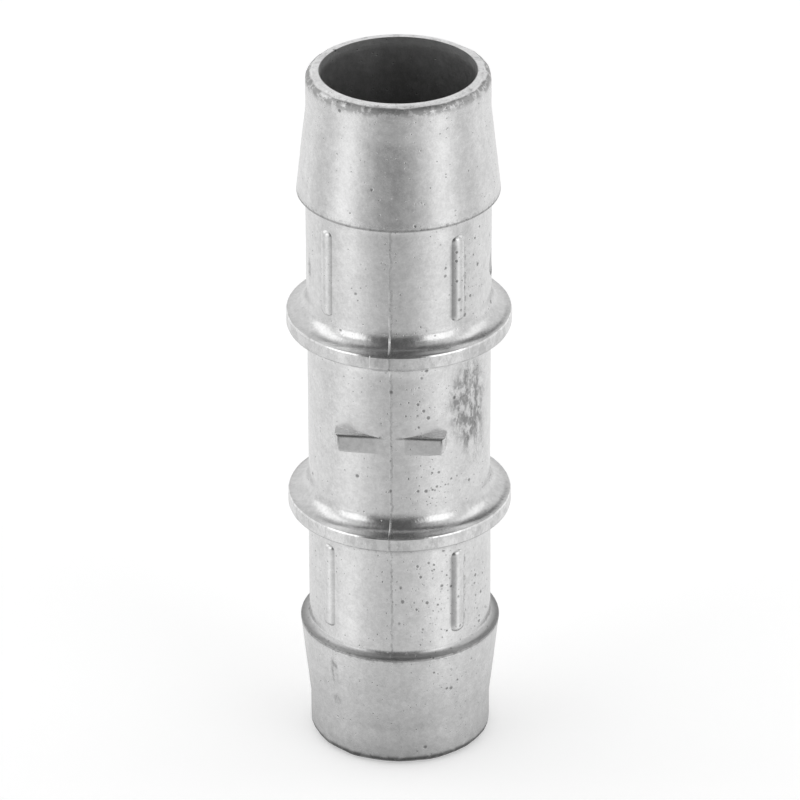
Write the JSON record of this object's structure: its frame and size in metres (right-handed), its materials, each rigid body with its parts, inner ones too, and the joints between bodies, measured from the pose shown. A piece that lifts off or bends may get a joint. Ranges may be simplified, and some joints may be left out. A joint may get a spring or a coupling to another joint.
{
  "type": "hose barb coupler",
  "caption": "Straight cast metal hose coupler with a barb and a stop flange for each hose and a plain through bore.",
  "frame": {"origin": "on the bore's axis at mid length, which is the centre of the bounding box", "axes": "+Z along the bore; the parting plane of the die is X = 0 and the flat pad faces -Y"},
  "size_m": [0.031, 0.0312, 0.101],
  "materials": {
    "cast_metal": "satin"
  },
  "bodies": {
    "root": {"coupler_body": "cast_metal"}
  },
  "joints": []
}
